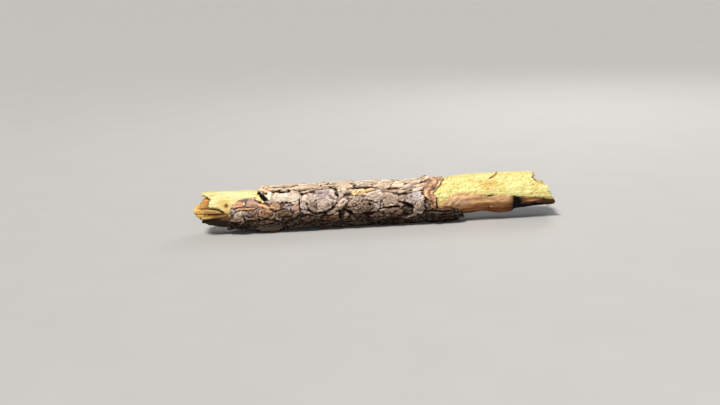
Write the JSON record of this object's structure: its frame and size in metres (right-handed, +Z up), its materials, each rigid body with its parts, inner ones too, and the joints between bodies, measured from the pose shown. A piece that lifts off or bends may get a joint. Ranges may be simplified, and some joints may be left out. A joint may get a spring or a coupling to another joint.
{
  "type": "broken pine stick",
  "caption": "Broken pine branch lying on its side: pale wood torn off at both ends, a sleeve of scaly grey bark round the middle and brown inner bark under one bare end.",
  "frame": {"origin": "centre of the bounding box in X and Y, on the plane the stick lies on", "axes": "+X along the stick from its left tip to its right tip as the picture shows them, -Y towards the viewer, +Z up"},
  "size_m": [0.32, 0.0443, 0.042],
  "materials": {
    "wood": "bare torn sapwood, matt and fibrous, pale yellow with orange-brown heart",
    "bark": "rough flaking bark scales, dry and matt, grey-brown with cream and pink-brown faces",
    "inner_bark": "smooth fibrous inner bark, matt brown, blackened near one end"
  },
  "bodies": {
    "root": {"wood": "wood", "bark": "bark", "inner_bark": "inner_bark"}
  },
  "joints": []
}
